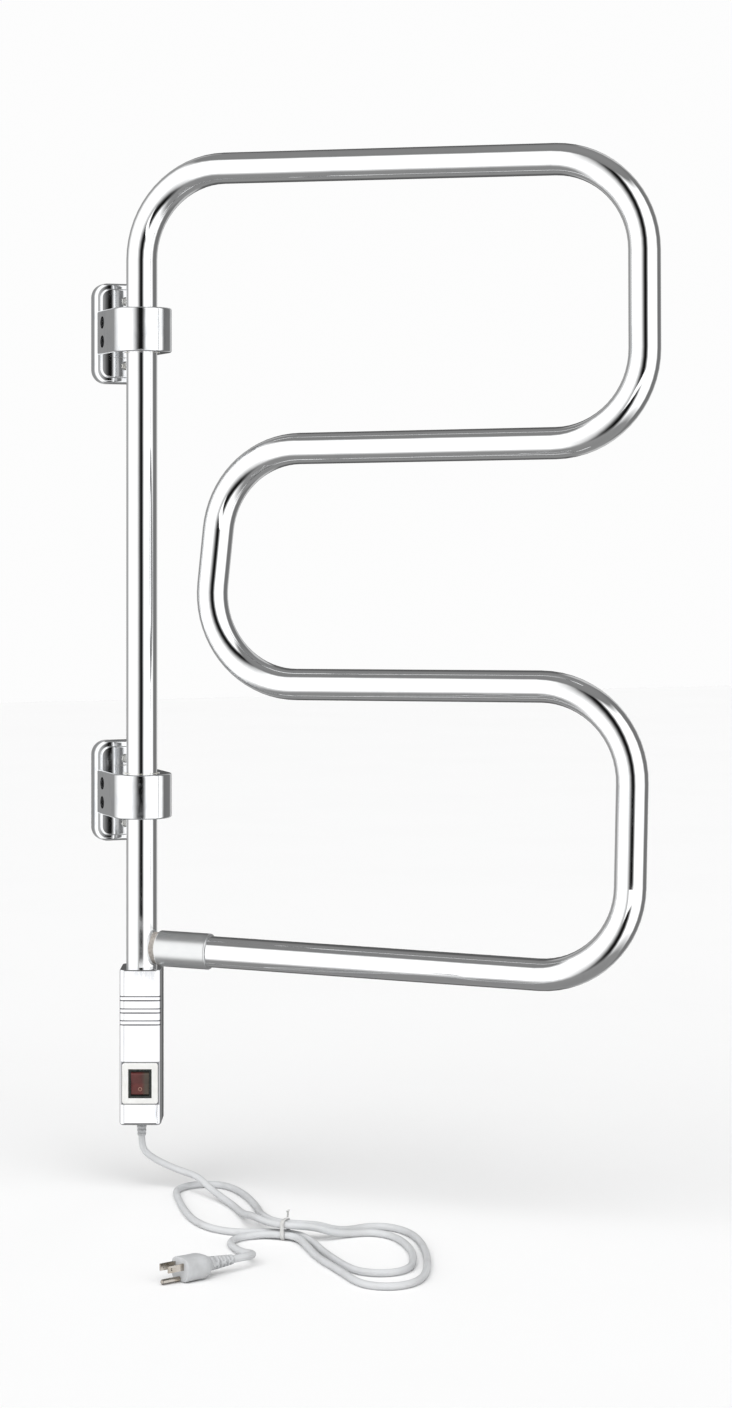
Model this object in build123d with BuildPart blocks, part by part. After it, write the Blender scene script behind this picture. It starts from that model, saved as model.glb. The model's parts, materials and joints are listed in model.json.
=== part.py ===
from build123d import *

import os
from math import cos, pi, radians, sin, tan

# A swivelling electric towel warmer: one bent tube that turns in two wall brackets,
# with a switch housing on the foot of its post and a mains lead laid on the floor.
# Millimetres, +Z up, X along the wall and +Y into it. The origin is the centre of the
# upper bracket's screw pattern, on the wall.

os.makedirs("parts", exist_ok=True)

# ---- Driving dimensions ----
tube_d = 32.0
tube_wall = 1.5
bend_radius = 92.0
post_to_wall = 72.0
bracket_spacing = 483.0
swing_angle = 42.0  # the rack's rest position, off the wall
housing_turn = 22.0  # the way the switch faces, off the wall's normal
post_foot = -700.0
top_rail = 166.5
bottom_rail = -641.0
rack_width = 538.0

tube_r = tube_d / 2
tube_bore_r = tube_r - tube_wall

# ---- Brackets ----
plate_w = 66.0
plate_h = 106.0
plate_base = 13.0
plate_face = 16.0
screw_offset = 34.0
clamp_r = 31.0
clamp_h = 46.0
bush_wall = 2.0
running_gap = 0.05
clamp_screw_y = -33.0
clamp_screw_z = 10.0

# ---- Switch housing ----
housing_w = 43.0
housing_d = 48.0
housing_top = -661.5
housing_bottom = -822.0
housing_wall = 2.5
housing_front = housing_d / 2
switch_z = -778.5
rocker_pivot = 19.5  # forward of the post's axis
rocker_tilt = 8.0

# ---- Mains lead ----
floor_z = -889.0
cord_d = 7.0
cord_r = cord_d / 2
gland_end = -837.0
blade_spacing = 12.7
ground_offset = 11.9


def level(height, turn=0.0):
    """A horizontal plane on the post's axis, its X turned into the room by turn degrees."""
    along = (cos(radians(turn)), -sin(radians(turn)), 0)
    return Plane(origin=(0, -post_to_wall, height), x_dir=along, z_dir=(0, 0, 1))


def upright(turn, forward=0.0, height=0.0):
    """A vertical plane that faces the room, forward of the post's axis, with Y up."""
    c = cos(radians(turn))
    s = sin(radians(turn))
    start = (-s * forward, -post_to_wall - c * forward, height)
    return Plane(origin=start, x_dir=(c, -s, 0), z_dir=(-s, -c, 0))


def wall(forward, height):
    """A plane parallel to the wall, forward millimetres off it, with Y up."""
    return Plane(origin=(0, -forward, height), x_dir=(1, 0, 0), z_dir=(0, -1, 0))


def across(lateral, height):
    """A plane square to the wall that faces -X, lateral millimetres along the wall."""
    return Plane(origin=(lateral, 0, height), x_dir=(0, 1, 0), z_dir=(-1, 0, 0))


def save(piece, name):
    piece.part.label = name
    export_step(piece.part, "parts/" + name + ".step")


# ---- The rack: one tube, bent from the post's foot to the end of the bottom rail ----
# Each point is (distance out from the post's axis, height) of a corner of the centreline.
rail_end = 24.0
rail_drop = -8.0 / 522.0
corners = [
    (0, post_foot),
    (0, top_rail),
    (rack_width, top_rail - 8),
    (rack_width + 1, -120),
    (95, -125),
    (69, -366),
    (528, -361),
    (522, bottom_rail + 522 * rail_drop),
]
tube_points = corners + [(rail_end, bottom_rail + rail_end * rail_drop)]
with BuildLine(upright(swing_angle)) as tube_line:
    FilletPolyline(*tube_points, radius=bend_radius)
tube_path = tube_line.wires()[0]

rack = upright(swing_angle)
rail_start = rack.from_local_coords(Vector(0, bottom_rail, 0))
rail_next = rack.from_local_coords(Vector(1, bottom_rail + rail_drop, 0))
rail_way = (rail_next - rail_start).normalized()
stud_r = 5.0


def along_rail(distance):
    """A plane square to the bottom rail, distance millimetres out, with X into the room."""
    return Plane(origin=rail_start + rail_way * distance, x_dir=rack.z_dir, z_dir=rail_way)


with BuildPart() as heating_tube:
    with BuildSketch(Plane(origin=tube_path @ 0, z_dir=tube_path % 0)):
        Circle(tube_r)
        Circle(tube_bore_r, mode=Mode.SUBTRACT)
    sweep(path=tube_path)
    with BuildSketch(along_rail(0)):
        Circle(stud_r)
    extrude(amount=rail_end - 2, mode=Mode.SUBTRACT)
save(heating_tube, "heating_tube")

# The bottom rail ends in a socket on the post: a sleeve with an oval neck, drawn up
# against an oval saddle gasket by a stud.
socket_r = 18.5
socket_start = 21.0
socket_end = 77.5
neck_half_w = 10.8
neck_half_h = 16.5
gasket_r = tube_r + 4.5
saddle_reach = 2 * (bottom_rail - post_foot)

with BuildPart() as tube_socket:
    with BuildSketch(along_rail(socket_start)):
        Circle(socket_r)
    extrude(amount=socket_end - socket_start)
    sleeve_rims = tube_socket.edges().filter_by(GeomType.CIRCLE)
    fillet(sleeve_rims, radius=1.4)
    with BuildSketch(along_rail(0)):
        Ellipse(neck_half_w, neck_half_h)
    extrude(amount=socket_start)
    with BuildSketch(level(post_foot)):
        Circle(gasket_r)
    extrude(amount=saddle_reach, mode=Mode.SUBTRACT)
    with BuildSketch(along_rail(rail_end)):
        Circle(tube_r)
    extrude(amount=socket_end, mode=Mode.SUBTRACT)
    with BuildSketch(along_rail(0)):
        Circle(stud_r)
    extrude(amount=socket_end, mode=Mode.SUBTRACT)
save(tube_socket, "tube_socket")

with BuildPart() as saddle_gasket:
    with BuildSketch(along_rail(0)):
        Ellipse(neck_half_w, neck_half_h)
        Circle(stud_r, mode=Mode.SUBTRACT)
    extrude(amount=socket_start)
    with BuildSketch(level(post_foot)):
        Circle(gasket_r)
    extrude(amount=saddle_reach, mode=Mode.INTERSECT)
    with BuildSketch(level(post_foot)):
        Circle(tube_r)
    extrude(amount=saddle_reach, mode=Mode.SUBTRACT)
save(saddle_gasket, "saddle_gasket")

stud_start = 9.0
with BuildPart() as socket_stud:
    with BuildSketch(along_rail(stud_start)):
        Circle(stud_r)
    extrude(amount=rail_end - stud_start)
save(socket_stud, "socket_stud")

# A nylon plug closes the rail's end inside the socket and holds the end of the cable.
plug_length = 20.0
with BuildPart() as tube_end_plug:
    with BuildSketch(along_rail(rail_end)):
        Circle(tube_bore_r)
    extrude(amount=plug_length)
save(tube_end_plug, "tube_end_plug")

# The heating cable runs the whole length of the tube, on its centreline.
cable_r = 4.25
cable_foot = post_foot - 8
cable_end = rail_end + plug_length
cable_tip = (cable_end, bottom_rail + cable_end * rail_drop)
cable_points = [(0, cable_foot)] + corners[1:] + [cable_tip]
with BuildLine(upright(swing_angle)) as cable_line:
    FilletPolyline(*cable_points, radius=bend_radius)
cable_path = cable_line.wires()[0]

with BuildPart() as heating_cable:
    with BuildSketch(Plane(origin=cable_path @ 0, z_dir=cable_path % 0)):
        Circle(cable_r)
    sweep(path=cable_path)
save(heating_cable, "heating_cable")

# ---- The two wall brackets ----
clamp_reach = post_to_wall + clamp_r
bush_r = tube_r + running_gap + bush_wall
wall_screw_r = 2.5
wall_screw_neck_r = 2.3  # the plain shank, inside the plate
wall_screw_head_r = 4.6
wall_screw_head = 2.8
wall_screw_depth = 35.0
clamp_bolt_r = 3.0
clamp_bolt_head_r = 5.4
arm_screw_x = 15.0
arm_screw_z = 11.0
arm_screw_r = 2.5
arm_screw_depth = 28.0


def clamp_outline(height):
    """The clamp seen from above: straight flanks from the plate and a round nose."""
    with BuildSketch(Plane.XY.offset(height - clamp_h / 2)) as outline:
        with Locations((0, -(plate_face + post_to_wall) / 2)):
            Rectangle(2 * clamp_r, post_to_wall - plate_face)
        with Locations((0, -post_to_wall)):
            Circle(clamp_r)
            Circle(bush_r, mode=Mode.SUBTRACT)
    return outline.sketch


def outer_rims(half, height):
    """The top and bottom edges along a clamp half's flank and nose."""
    middle = Vector(0, -post_to_wall, height)
    rims = half.edges().filter_by_position(Axis.Y, -clamp_reach - 1, -plate_face - 1)
    rims = [e for e in rims if abs(e.center().Z - height) > clamp_h / 2 - 1]
    rims = [e for e in rims if abs(e.center().X) > 1]
    return [e for e in rims if (e.center() - middle).length > clamp_r * 0.9]


for which, height in (("upper", 0.0), ("lower", -bracket_spacing)):
    # A cast wall plate in two tiers, with rounded corners and soft edges.
    with BuildPart() as wall_plate:
        with BuildSketch(wall(0, height)):
            RectangleRounded(plate_w, plate_h, 15)
        extrude(amount=plate_base)
        fillet(wall_plate.faces().sort_by(Axis.Y)[0].edges(), radius=3.5)
        with BuildSketch(wall(plate_base - 0.01, height)):
            RectangleRounded(plate_w - 12, plate_h - 12, 10)
        extrude(amount=plate_face - plate_base + 0.01)
        fillet(wall_plate.faces().sort_by(Axis.Y)[0].edges(), radius=1.8)
        with BuildSketch(wall(0, height)):
            with Locations((0, screw_offset), (0, -screw_offset)):
                Circle(wall_screw_r + 0.3)
        extrude(amount=plate_face, mode=Mode.SUBTRACT)
        with BuildSketch(wall(0, height)):
            with Locations((arm_screw_x, arm_screw_z), (arm_screw_x, -arm_screw_z)):
                Circle(arm_screw_r)
        extrude(amount=plate_face, mode=Mode.SUBTRACT)
        with BuildSketch(wall(0, height)):
            with Locations((arm_screw_x, arm_screw_z), (arm_screw_x, -arm_screw_z)):
                Circle(2 * arm_screw_r)
        extrude(amount=4, mode=Mode.SUBTRACT)
    save(wall_plate, which + "_wall_plate")

    # The fixed half of the clamp, screwed to the plate from behind.
    with BuildPart() as clamp_arm:
        extrude(clamp_outline(height), amount=clamp_h)
        split(bisect_by=Plane.YZ, keep=Keep.TOP)
        fillet(outer_rims(clamp_arm, height), radius=2)
        with BuildSketch(across(clamp_r, height)):
            with Locations((clamp_screw_y, clamp_screw_z), (clamp_screw_y, -clamp_screw_z)):
                Circle(clamp_bolt_r)
        extrude(amount=clamp_r, mode=Mode.SUBTRACT)
        with BuildSketch(wall(plate_face, height)):
            with Locations((arm_screw_x, arm_screw_z), (arm_screw_x, -arm_screw_z)):
                Circle(arm_screw_r)
        extrude(amount=arm_screw_depth - plate_face, mode=Mode.SUBTRACT)
    save(clamp_arm, which + "_clamp_arm")

    # The loose half, with two counterbored holes in its flank.
    with BuildPart() as clamp_cover:
        extrude(clamp_outline(height), amount=clamp_h)
        split(bisect_by=Plane.YZ, keep=Keep.BOTTOM)
        fillet(outer_rims(clamp_cover, height), radius=2)
        with Locations(across(-clamp_r, height)):
            with Locations((clamp_screw_y, clamp_screw_z), (clamp_screw_y, -clamp_screw_z)):
                CounterBoreHole(clamp_bolt_r + 0.3, clamp_bolt_head_r + 1.1, 12)
    save(clamp_cover, which + "_clamp_cover")

    # A slit nylon bush lines the clamp, and the post turns in it.
    with BuildPart() as bush:
        with BuildSketch(level(height - clamp_h / 2)):
            Circle(bush_r)
            Circle(tube_r + running_gap, mode=Mode.SUBTRACT)
            with Locations((0, tube_r + 1)):
                Rectangle(1, 6, mode=Mode.SUBTRACT)
        extrude(amount=clamp_h)
    save(bush, which + "_bush")

    # Pan head wall screws: a plain neck in the plate, and a thread that stands out of its
    # back, into the wall.
    with BuildPart() as wall_screws:
        with BuildSketch(wall(-wall_screw_depth, height)):
            with Locations((0, screw_offset), (0, -screw_offset)):
                Circle(wall_screw_r)
        extrude(amount=wall_screw_depth)
        with BuildSketch(wall(0, height)):
            with Locations((0, screw_offset), (0, -screw_offset)):
                Circle(wall_screw_neck_r)
        extrude(amount=plate_face)
        with BuildSketch(wall(plate_face, height)):
            with Locations((0, screw_offset), (0, -screw_offset)):
                Circle(wall_screw_head_r)
        extrude(amount=wall_screw_head)
        crowns = wall_screws.edges().filter_by(GeomType.CIRCLE)
        fillet(crowns.group_by(Axis.Y)[0], radius=1.6)
        points = wall_screws.edges().filter_by(GeomType.CIRCLE)
        chamfer(points.group_by(Axis.Y)[-1], length=2.2)
        for side in (1, -1):
            with BuildSketch(wall(plate_face + 1.2, height + side * screw_offset)):
                Rectangle(5, 1)
                Rectangle(1, 5)
            extrude(amount=wall_screw_head, mode=Mode.SUBTRACT)
    save(wall_screws, which + "_wall_screws")

    # Two socket cap bolts draw the halves of the clamp together.
    with BuildPart() as clamp_bolts:
        with BuildSketch(across(-clamp_r + 6, height)):
            with Locations((clamp_screw_y, clamp_screw_z), (clamp_screw_y, -clamp_screw_z)):
                Circle(clamp_bolt_head_r)
                RegularPolygon(2.5, 6, mode=Mode.SUBTRACT)
        extrude(amount=-3)
        with BuildSketch(across(-clamp_r + 9, height)):
            with Locations((clamp_screw_y, clamp_screw_z), (clamp_screw_y, -clamp_screw_z)):
                Circle(clamp_bolt_head_r)
        extrude(amount=-3)
        with BuildSketch(across(-clamp_r + 12, height)):
            with Locations((clamp_screw_y, clamp_screw_z), (clamp_screw_y, -clamp_screw_z)):
                Circle(clamp_bolt_r)
        extrude(amount=-35)
    save(clamp_bolts, which + "_clamp_bolts")

    # Two screws from behind the plate hold the fixed half.
    with BuildPart() as arm_screws:
        with BuildSketch(wall(1, height)):
            with Locations((arm_screw_x, arm_screw_z), (arm_screw_x, -arm_screw_z)):
                Circle(2 * arm_screw_r)
        extrude(amount=3)
        with BuildSketch(wall(4, height)):
            with Locations((arm_screw_x, arm_screw_z), (arm_screw_x, -arm_screw_z)):
                Circle(arm_screw_r)
        extrude(amount=arm_screw_depth - 4)
    save(arm_screws, which + "_arm_screws")

# ---- The switch housing, on the foot of the post ----
bezel_w = 37.0
bezel_h = 42.0
bezel_seat = housing_front - 0.6
housing_bow = 0.7
bezel_lip = 2.6
frame_w = 24.0
frame_h = 29.8
body_w = 21.8
body_h = 27.8
gland_r = 5.4
groove_depth = 1.0
groove_h = 4.2
groove_heights = (-691.2, -703.9, -716.2)
seam_screw_x = 12.0
seam_screw_heights = (-712.0, -812.0)
inner_back = -housing_front + housing_wall


def housing_outline(plane, inset):
    """The housing seen from above: a slightly bowed front and rounded corners."""
    half = housing_w / 2 - inset
    depth = housing_front - inset
    side = depth - housing_bow
    with BuildSketch(plane) as outline:
        with BuildLine():
            ThreePointArc((-half, -side), (0, -depth), (half, -side))
            Polyline((half, -side), (half, depth), (-half, depth), (-half, -side))
        make_face()
        fillet(outline.vertices(), radius=5.5 - inset)
    return outline.sketch


housing_h = housing_top - housing_bottom
outer_base = level(housing_bottom, housing_turn)
inner_base = level(housing_bottom + housing_wall, housing_turn)
inner_h = housing_h - 2 * housing_wall
outside = extrude(housing_outline(outer_base, 0), amount=housing_h, mode=Mode.PRIVATE)
inside = extrude(housing_outline(inner_base, housing_wall), amount=inner_h, mode=Mode.PRIVATE)
front_half = upright(housing_turn)
screw_hole_r = 1.8

for name, side in (("housing_cover", Keep.TOP), ("housing_back", Keep.BOTTOM)):
    with BuildPart() as half_shell:
        add(outside)
        top_rim = half_shell.faces().sort_by(Axis.Z)[-1].edges()
        fillet(top_rim, radius=1.2)
        bottom_rim = half_shell.faces().sort_by(Axis.Z)[0].edges()
        fillet(bottom_rim, radius=2.4)
        add(inside, mode=Mode.SUBTRACT)
        with BuildSketch(level(housing_top - housing_wall - 1)):
            Circle(tube_r)
        extrude(amount=20, mode=Mode.SUBTRACT)
        with BuildSketch(level(housing_bottom - 1)):
            Circle(gland_r)
        extrude(amount=housing_wall + 2, mode=Mode.SUBTRACT)
        for groove_z in groove_heights:
            with BuildSketch(level(groove_z - groove_h / 2, housing_turn)):
                with Locations((0, -housing_front)):
                    Rectangle(housing_w - 4, 2 * groove_depth)
            extrude(amount=groove_h, mode=Mode.SUBTRACT)
        with BuildSketch(upright(housing_turn, bezel_seat, switch_z)):
            RectangleRounded(bezel_w + 0.3, bezel_h + 0.3, 3)
        extrude(amount=5, mode=Mode.SUBTRACT)
        with BuildSketch(upright(housing_turn, bezel_seat - 5, switch_z)):
            Rectangle(body_w, body_h)
        extrude(amount=6, mode=Mode.SUBTRACT)
        for z in seam_screw_heights:
            with BuildSketch(upright(housing_turn, -housing_front - 1, z)):
                with Locations((seam_screw_x, 0), (-seam_screw_x, 0)):
                    Circle(screw_hole_r)
            extrude(amount=housing_wall + 2, mode=Mode.SUBTRACT)
        split(bisect_by=front_half, keep=side)
    save(half_shell, name)

# Four bosses, two high and two low, carry the screws that close the housing.
boss_r = 3.6
with BuildPart() as housing_bosses:
    for z in seam_screw_heights:
        with BuildSketch(upright(housing_turn, inner_back, z)):
            with Locations((seam_screw_x, 0), (-seam_screw_x, 0)):
                Circle(boss_r)
                Circle(screw_hole_r, mode=Mode.SUBTRACT)
        extrude(amount=14)
save(housing_bosses, "housing_bosses")

with BuildPart() as housing_screws:
    for z in seam_screw_heights:
        with BuildSketch(upright(housing_turn, -housing_front, z)):
            with Locations((seam_screw_x, 0), (-seam_screw_x, 0)):
                Circle(screw_hole_r)
        extrude(amount=15)
        with BuildSketch(upright(housing_turn, -housing_front, z)):
            with Locations((seam_screw_x, 0), (-seam_screw_x, 0)):
                Circle(3.2)
        extrude(amount=-1.8)
        for x in (seam_screw_x, -seam_screw_x):
            with BuildSketch(upright(housing_turn, -housing_front - 0.8, z)):
                with Locations((x, 0)):
                    Rectangle(4, 0.8)
                    Rectangle(0.8, 4)
            extrude(amount=-2, mode=Mode.SUBTRACT)
save(housing_screws, "housing_screws")

# A ring grips the post inside the housing, and a nylon plug closes the post's foot.
plug_depth = 14.0
with BuildPart() as post_ring:
    with BuildSketch(level(post_foot + 10)):
        Circle(tube_r + 2.6)
        Circle(tube_r, mode=Mode.SUBTRACT)
    extrude(amount=plug_depth)
    chamfer(post_ring.edges().group_by(Axis.Z)[-1].sort_by(SortBy.RADIUS)[-1], length=0.8)
save(post_ring, "post_ring")

with BuildPart() as post_plug:
    with BuildSketch(level(post_foot)):
        Circle(tube_bore_r)
        Circle(cable_r, mode=Mode.SUBTRACT)
    extrude(amount=plug_depth)
    with BuildSketch(level(post_foot - 3)):
        Circle(tube_r)
        Circle(cable_r, mode=Mode.SUBTRACT)
    extrude(amount=3)
save(post_plug, "post_plug")

# The switch: a pale bezel let into the cover, a black frame and body, and the rocker.
with BuildPart() as switch_bezel:
    with BuildSketch(upright(housing_turn, bezel_seat, switch_z)):
        RectangleRounded(bezel_w, bezel_h, 2.8)
        Rectangle(frame_w + 0.2, frame_h + 0.2, mode=Mode.SUBTRACT)
    extrude(amount=bezel_lip)
    bezel_front = switch_bezel.faces().sort_by(Axis(front_half.origin, front_half.z_dir))[-1]
    fillet(bezel_front.outer_wire().edges(), radius=1.2)
save(switch_bezel, "switch_bezel")

rocker_w = 18.6
rocker_r = 12.2
pin_r = 1.4
cavity_floor = 13.5
body_back = -3.5
with BuildPart() as switch_body:
    with BuildSketch(upright(housing_turn, bezel_seat, switch_z)):
        Rectangle(frame_w, frame_h)
    extrude(amount=2.0)
    with BuildSketch(upright(housing_turn, body_back, switch_z)):
        Rectangle(body_w, body_h)
    extrude(amount=bezel_seat - body_back)
    with BuildSketch(upright(housing_turn, cavity_floor, switch_z)):
        Rectangle(rocker_w + 0.8, 2 * rocker_r + 0.8)
    extrude(amount=20, mode=Mode.SUBTRACT)
    pin_axis = Plane(
        origin=front_half.from_local_coords(Vector(0, switch_z, rocker_pivot)),
        z_dir=front_half.x_dir,
    )
    with BuildSketch(pin_axis.offset(-body_w / 2 + 0.5)):
        Circle(pin_r + running_gap)
    extrude(amount=body_w - 1, mode=Mode.SUBTRACT)
save(switch_body, "switch_body")


def rocker_plane(offset):
    """A plane square to the rocker's pin, its X forward and its Y up, tilted with the rocker."""
    s = sin(radians(rocker_tilt))
    c = cos(radians(rocker_tilt))
    out = front_half.z_dir * c + Vector(0, 0, -s)
    start = pin_axis.origin + front_half.x_dir * offset
    return Plane(origin=start, x_dir=out, z_dir=front_half.x_dir * -1)


# The rocker is a round-ended block with a shallow valley across its face.
with BuildPart() as rocker:
    with BuildSketch(rocker_plane(rocker_w / 2)):
        Circle(rocker_r)
        with BuildLine():
            Polyline(
                (-3, -14), (6.2, -14), (6.2, -11), (3.8, 0),
                (6.2, 11), (6.2, 14), (-3, 14), close=True,
            )
        make_face(mode=Mode.INTERSECT)
    extrude(amount=rocker_w)
    with BuildSketch(rocker_plane(rocker_w / 2 + 0.8)):
        Circle(pin_r)
    extrude(amount=rocker_w + 1.6)
save(rocker, "rocker")

with BuildPart() as switch_terminals:
    with BuildSketch(upright(housing_turn, body_back, switch_z)):
        with GridLocations(11, 14, 2, 2):
            Rectangle(0.8, 4.8)
    extrude(amount=-8)
save(switch_terminals, "switch_terminals")

# Inside the back shell: a terminal block, a thermal cut-out and the lead's clamp.
block_top = -722.0
block_bottom = -738.0
block_front = -8.0
with BuildPart() as terminal_block:
    with BuildSketch(upright(housing_turn, inner_back, (block_top + block_bottom) / 2)):
        Rectangle(30, block_top - block_bottom)
    extrude(amount=block_front - inner_back)
    with BuildSketch(upright(housing_turn, block_front, (block_top + block_bottom) / 2)):
        with GridLocations(9, 1, 3, 1):
            Circle(2.4)
    extrude(amount=-6, mode=Mode.SUBTRACT)
    with BuildSketch(level(block_bottom, housing_turn)):
        with GridLocations(9, 1, 3, 1):
            with Locations((0, 17)):
                Circle(1.5)
    extrude(amount=block_top - block_bottom, mode=Mode.SUBTRACT)
save(terminal_block, "terminal_block")

with BuildPart() as terminal_screws:
    with BuildSketch(upright(housing_turn, block_front - 6, (block_top + block_bottom) / 2)):
        with GridLocations(9, 1, 3, 1):
            Circle(2.2)
    extrude(amount=3)
    for x in (-9, 0, 9):
        with BuildSketch(upright(housing_turn, block_front - 4, (block_top + block_bottom) / 2)):
            with Locations((x, 0)):
                Rectangle(3.6, 0.7)
        extrude(amount=2, mode=Mode.SUBTRACT)
save(terminal_screws, "terminal_screws")

with BuildPart() as thermal_cutout:
    with BuildSketch(upright(housing_turn, inner_back, -757)):
        Rectangle(12, 20)
    extrude(amount=6)
    fillet(thermal_cutout.edges().filter_by(Axis.Z), radius=1.5)
save(thermal_cutout, "thermal_cutout")

# ---- Cores inside the housing ----
core_r = 1.1


def housing_point(x, back, z):
    """A point inside the housing: across it, behind the post's axis and up."""
    return front_half.from_local_coords(Vector(x, z, -back))


def core(points, bend):
    with BuildLine() as line:
        FilletPolyline(*[housing_point(*p) for p in points], radius=bend)
    path = line.wires()[0]
    with BuildPart() as strand:
        with BuildSketch(Plane(origin=path @ 0, z_dir=path % 0)):
            Circle(core_r)
        sweep(path=path)
    return strand.part


entry_z = post_foot - 8
heater_cores = {
    "live_core": [(-2, 0, entry_z), (-2, 0, -713), (-9, 17, -717), (-9, 17, block_top - 0.2)],
    "neutral_core": [(2, 0, entry_z), (2, 0, -713), (9, 17, -717), (9, 17, block_top - 0.2)],
}
lead_top = -800.0
lead_cores = {
    "live_core": [(-1.8, 0, lead_top), (-1.8, 0, -796), (-5.5, 9.5, -794), (-5.5, 9.5, -787.9)],
    "neutral_core": [(1.8, 0, lead_top), (1.8, 0, -796), (5.5, 9.5, -794), (5.5, 9.5, -787.9)],
}
for name in ("live_core", "neutral_core"):
    with BuildPart() as cores:
        add(core(heater_cores[name], 3))
        add(core(lead_cores[name], 3))
    save(cores, name)

earth_route = [
    (0, 2.4, lead_top), (0, 2.4, -797), (0, 14, -793), (14, 14, -786), (14, 14, -752),
    (9, 17, -744), (0, 17, -743), (0, 17, block_bottom + 0.2),
]
with BuildPart() as earth_core:
    add(core(earth_route, 2.5))
save(earth_core, "earth_core")

# ---- The lead's way out: on the post's axis, so that it stays put while the rack turns ----
with BuildPart() as cord_gland:
    with BuildSketch(level(housing_bottom + housing_wall)):
        Circle(gland_r + 2)
    extrude(amount=3)
    with BuildSketch(level(housing_bottom)):
        Circle(gland_r)
    extrude(amount=housing_wall)
    with BuildSketch(level(housing_bottom)):
        Circle(gland_r)
    with BuildSketch(level(gland_end)):
        Circle(cord_r + 0.8)
    loft()
    with BuildSketch(level(gland_end)):
        Circle(cord_r)
    extrude(amount=housing_top - gland_end, mode=Mode.SUBTRACT)
save(cord_gland, "cord_gland")

with BuildPart() as inner_lead:
    with BuildSketch(level(gland_end)):
        Circle(cord_r)
    extrude(amount=lead_top - gland_end)
save(inner_lead, "inner_lead")

clamp_bar_z = -809.0
with BuildPart() as lead_clamp:
    with BuildSketch(level(clamp_bar_z, housing_turn)):
        with Locations((0, 7.75)):
            Rectangle(22, 27.5)
        Circle(cord_r, mode=Mode.SUBTRACT)
        for x in (-seam_screw_x, seam_screw_x):
            with Locations((x, 15)):
                Rectangle(9, 16, mode=Mode.SUBTRACT)
    extrude(amount=6)
save(lead_clamp, "lead_clamp")

# ---- The mains lead, laid on the floor in a tied hank ----
# Each point is (along the wall, off the wall, height of the lead's axis above the floor).
low = cord_r + 1.5
high = 14.8
route = [
    (0, -72, gland_end - floor_z), (0, -72, 40), (7, -76, 31), (21, -86, 23),
    (34, -102, 18), (42, -128, 17.6), (48, -162, 8), (53, -208, cord_r),
    (46, -256, cord_r + 2), (38.5, -300, high), (43.4, -340.6, high), (64.2, -359.4, high),
    (80, -367, high - 1), (98, -368, 7), (118, -363, cord_r), (137, -366, cord_r),
    (149, -379, cord_r), (153, -401, cord_r), (150, -430, cord_r), (143, -458, cord_r),
    (128, -494, cord_r), (115, -511, cord_r), (97, -518, cord_r), (79, -511, cord_r),
    (68, -494, cord_r), (66.5, -457, cord_r), (68, -418, cord_r), (72, -385, cord_r),
    (69.6, -353.4, low), (48.8, -334.6, low), (31, -324, cord_r), (12, -312, cord_r),
    (-1, -290, cord_r), (-5, -255, cord_r), (0, -212, cord_r), (9, -168, cord_r),
    (18, -128, cord_r), (30, -111, cord_r), (49, -103.5, cord_r), (68, -111, cord_r),
    (78, -128, cord_r), (80, -165, cord_r), (75, -210, cord_r), (64, -256, cord_r + 2),
    (49, -300, high), (48.8, -334.6, high), (69.6, -353.4, high), (86, -358, high - 1),
    (104, -356, 7), (123, -348, cord_r), (143, -342, cord_r), (160, -348, cord_r),
    (170, -366, cord_r), (172, -395, cord_r), (165, -430, cord_r), (151, -474, cord_r),
    (132, -518, cord_r), (116, -545, cord_r), (99, -560, cord_r), (80, -564, cord_r),
    (63, -555, cord_r), (55, -536, cord_r), (56, -497, cord_r), (54.5, -440, cord_r),
    (61, -395, cord_r), (64.2, -359.4, low), (43.4, -340.6, low), (28, -335, cord_r),
    (12, -338, cord_r), (0, -349, cord_r), (-5, -366, cord_r), (-6, -398, 5),
    (-2.6, -422.6, 8.5), (-13.2, -439.2, 11.3), (-31.9, -445, 11.3),
]
cord_points = [Vector(x, y, floor_z + h) for x, y, h in route]


def corner_radius(before, at, after):
    """0.45 of the shorter run, over the tangent of half the turn."""
    shorter = min((at - before).length, (after - at).length)
    turn = (at - before).get_angle(after - at)
    return 0.45 * shorter / tan(radians(turn / 2))


triples = list(zip(cord_points, cord_points[1:], cord_points[2:]))
cord_radii = [corner_radius(*three) for three in triples]
with BuildLine() as cord_line:
    FilletPolyline(*cord_points, radius=cord_radii)
cord_path = cord_line.wires()[0]

with BuildPart() as power_cord:
    with BuildSketch(Plane(origin=cord_path @ 0, z_dir=cord_path % 0)):
        Circle(cord_r)
    sweep(path=cord_path)
save(power_cord, "power_cord")

straight_volume = pi * cord_r**2 * cord_path.length
print("cord arc radii", [round(r) for r in cord_radii])
print("cord runs", [round((b - a).length) for a, b in zip(cord_points, cord_points[1:])])
print("cord length", round(cord_path.length))
print("cord volume", round(power_cord.part.volume), "of", round(straight_volume))

# A twist tie binds the four strands of the hank where they cross.
tie_way = Vector(0.742, -0.67, 0).normalized()
tie_side = Vector(0.67, 0.742, 0).normalized()
tie_plane = Plane(origin=(56.5, -347, floor_z + 9.9), x_dir=tie_side, z_dir=tie_way)
with BuildPart() as cord_tie:
    with BuildSketch(tie_plane.offset(-2)):
        RectangleRounded(17.4, 19.4, 4.5)
        RectangleRounded(16.0, 18.0, 3.9, mode=Mode.SUBTRACT)
    extrude(amount=4)
    with BuildSketch(tie_plane.offset(-1.5)):
        with Locations((6.5, 9.5)):
            Rectangle(2.4, 2)
        with Locations((8, 13)):
            Rectangle(2.4, 8, rotation=-20)
    extrude(amount=2.4)
save(cord_tie, "cord_tie")

# ---- The plug, on its side at the end of the lead ----
cord_way = cord_path % 1
flat_way = Vector(cord_way.X, cord_way.Y, 0).normalized()
plug_start = cord_path @ 1


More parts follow.
